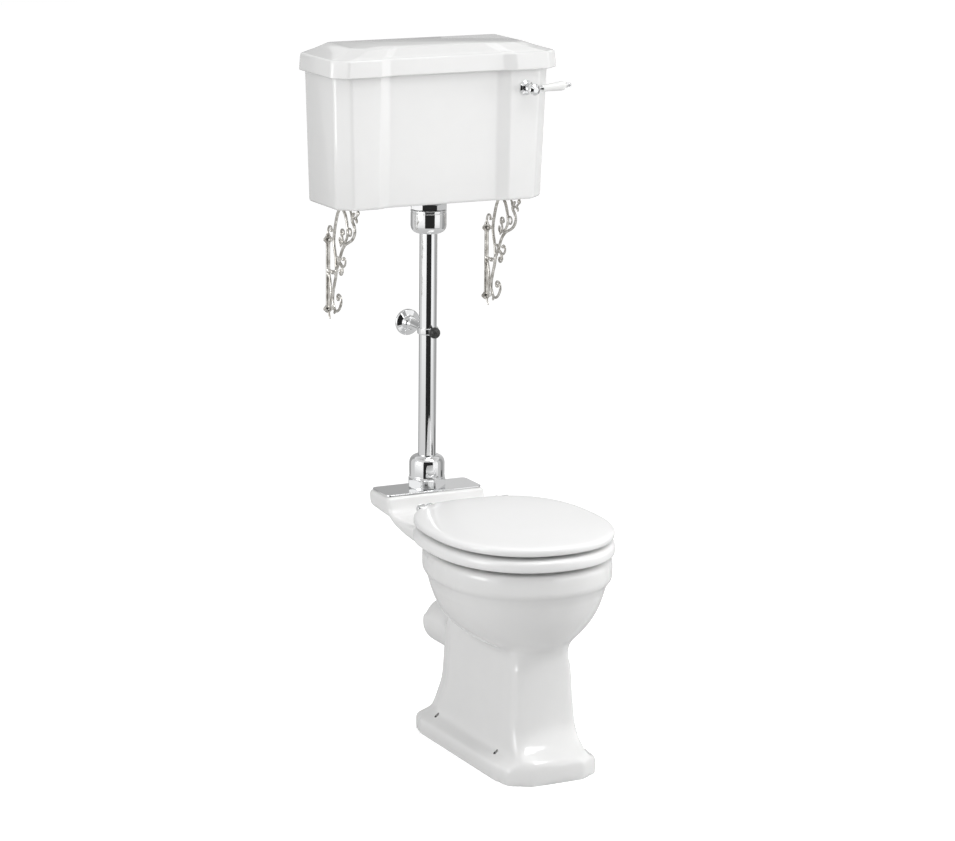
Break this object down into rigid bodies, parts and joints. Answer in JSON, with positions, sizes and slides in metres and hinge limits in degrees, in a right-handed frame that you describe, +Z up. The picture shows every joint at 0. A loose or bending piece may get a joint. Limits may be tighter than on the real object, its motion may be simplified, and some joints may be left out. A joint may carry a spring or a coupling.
{
  "type": "medium level toilet",
  "caption": "Period-style medium level toilet: lever cistern on scroll brackets, chromed flush pipe, pan with ledge, seat and lid.",
  "frame": {"origin": "on the floor, midway between the four floor screw holes of the pan", "axes": "+Z up, +Y towards the wall, +X to the right of someone who faces the wall; the wall lies at y = 0.465"},
  "size_m": [0.5384, 0.735, 1.427],
  "materials": {
    "glazed_china": "white glaze",
    "china_grip": "white glaze",
    "polished_chrome": "polished",
    "aged_nickel": "cast and aged",
    "black_rubber": "matt",
    "white_rubber": "matt",
    "white_plastic": "moulded",
    "gunmetal": "turned",
    "seat_white": "gloss white"
  },
  "bodies": {
    "fixed_parts": {"pan": "glazed_china", "ledge_cover_plate": "polished_chrome", "pan_inlet_seal": "black_rubber", "base_nut": "polished_chrome", "domed_cap": "polished_chrome", "flush_pipe": "polished_chrome", "pipe_joint_washer": "black_rubber", "cup_nut": "polished_chrome", "tail_nut": "polished_chrome", "tail_outer_washer": "black_rubber", "wall_rose": "polished_chrome", "clip_stem": "polished_chrome", "clip_ring": "polished_chrome", "stop_screw": "polished_chrome", "rubber_stop": "black_rubber", "left_bracket": "aged_nickel", "right_bracket": "aged_nickel", "cistern_body": "glazed_china", "cistern_spacers": "black_rubber", "siphon_body": "white_plastic", "siphon_washer": "black_rubber", "lever_escutcheon": "polished_chrome", "lever_bush": "polished_chrome", "lever_lock_nut": "gunmetal", "inlet_valve": "gunmetal", "inlet_washer": "black_rubber", "inlet_nut": "gunmetal", "float_pin": "gunmetal", "hinge_rod": "polished_chrome", "hinge_posts": "polished_chrome", "hinge_bolts": "polished_chrome", "hinge_washers": "black_rubber", "hinge_wing_nuts": "white_plastic"},
    "cistern_cover": {"cistern_lid": "glazed_china"},
    "flush_handle": {"lever_spindle": "polished_chrome", "lever_hub": "polished_chrome", "lever_grip": "china_grip", "lever_tip": "polished_chrome", "lift_arm": "gunmetal"},
    "lift_gear": {"lift_rod": "gunmetal", "lift_link": "gunmetal", "siphon_diaphragm": "white_plastic"},
    "float": {"float_arm": "gunmetal", "float_ball": "white_plastic"},
    "inlet_piston": {"valve_piston": "gunmetal"},
    "ring": {"ring_seat": "seat_white", "ring_buffers": "white_rubber", "ring_hinge_plates": "polished_chrome"},
    "cover": {"cover_seat": "seat_white", "cover_buffers": "white_rubber", "cover_hinge_plates": "polished_chrome"}
  },
  "joints": [
    {"name": "ring_hinge", "type": "hinge", "parent": "fixed_parts", "child": "ring", "pos_m": [0, 0.19, 0.48], "axis": [-1, 0, 0], "range_deg": [0, 107]},
    {"name": "cover_hinge", "type": "hinge", "parent": "ring", "child": "cover", "pos_m": [0, 0.19, 0.48], "axis": [1, 0, 0], "range_deg": [-107, 0]},
    {"name": "flush_lever", "type": "hinge", "parent": "fixed_parts", "child": "flush_handle", "pos_m": [0.185, 0.3, 1.333], "axis": [0, 1, 0], "range_deg": [0, 35]},
    {"name": "lift_gear_slide", "type": "slide", "parent": "fixed_parts", "child": "lift_gear", "axis": [0, 0, 1], "range_m": [0, 0.054]},
    {"name": "float_rise", "type": "hinge", "parent": "fixed_parts", "child": "float", "pos_m": [0.17456, 0.39, 1.33], "axis": [0, 1, 0], "range_deg": [0, 18]},
    {"name": "inlet_piston_slide", "type": "slide", "parent": "fixed_parts", "child": "inlet_piston", "axis": [1, 0, 0], "range_m": [0, 0.003]},
    {"name": "cistern_lid_lift", "type": "slide", "parent": "fixed_parts", "child": "cistern_cover", "axis": [0, 0, 1], "range_m": [0, 0.12]}
  ],
  "couplings": [
    {"joint": "lift_gear_slide", "follows": "flush_lever", "m_per_rad": 0.0877},
    {"joint": "inlet_piston_slide", "follows": "float_rise", "m_per_rad": 0.009}
  ]
}
